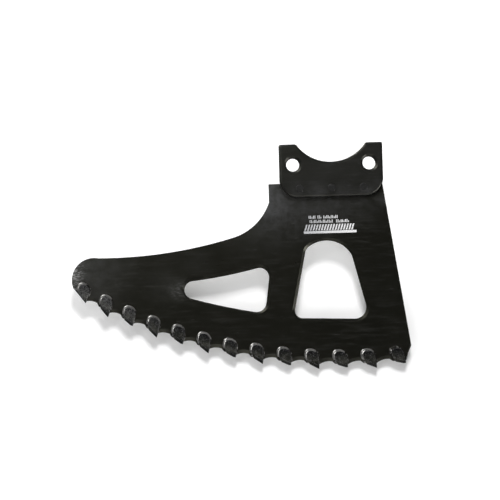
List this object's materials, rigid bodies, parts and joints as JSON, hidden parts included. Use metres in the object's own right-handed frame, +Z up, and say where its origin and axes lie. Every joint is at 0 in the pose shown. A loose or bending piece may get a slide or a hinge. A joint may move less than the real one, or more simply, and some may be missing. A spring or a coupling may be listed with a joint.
{
  "type": "masonry saw blade",
  "caption": "Flat black steel masonry saw blade with a curved row of brazed hard-metal tips, lightening windows and a bolt-on bracket with a concave saddle.",
  "frame": {"origin": "midway between the two bolt holes, on the bracket's seating face; the plate lies in a 0.5 mm rebate just below that face", "axes": "+Z up, away from the teeth; +X towards the heel, along the line of the bolt holes; -Y out of the blade's outer face"},
  "size_m": [0.2327, 0.0085, 0.1556],
  "materials": {
    "plate_coat": "satin",
    "bracket_coat": "satin",
    "rivet_steel": "satin",
    "carbide": "satin",
    "braze": "satin"
  },
  "bodies": {
    "root": {"blade_plate": "plate_coat", "mounting_bracket": "bracket_coat", "lip_rivets": "rivet_steel", "carbide_tip_01": "carbide", "carbide_tip_02": "carbide", "carbide_tip_03": "carbide", "carbide_tip_04": "carbide", "carbide_tip_05": "carbide", "carbide_tip_06": "carbide", "carbide_tip_07": "carbide", "carbide_tip_08": "carbide", "carbide_tip_09": "carbide", "carbide_tip_10": "carbide", "carbide_tip_11": "carbide", "carbide_tip_12": "carbide", "carbide_tip_13": "carbide", "braze_seam_01": "braze", "braze_seam_02": "braze", "braze_seam_03": "braze", "braze_seam_04": "braze", "braze_seam_05": "braze", "braze_seam_06": "braze", "braze_seam_07": "braze", "braze_seam_08": "braze", "braze_seam_09": "braze", "braze_seam_10": "braze", "braze_seam_11": "braze", "braze_seam_12": "braze", "braze_seam_13": "braze"}
  },
  "joints": []
}
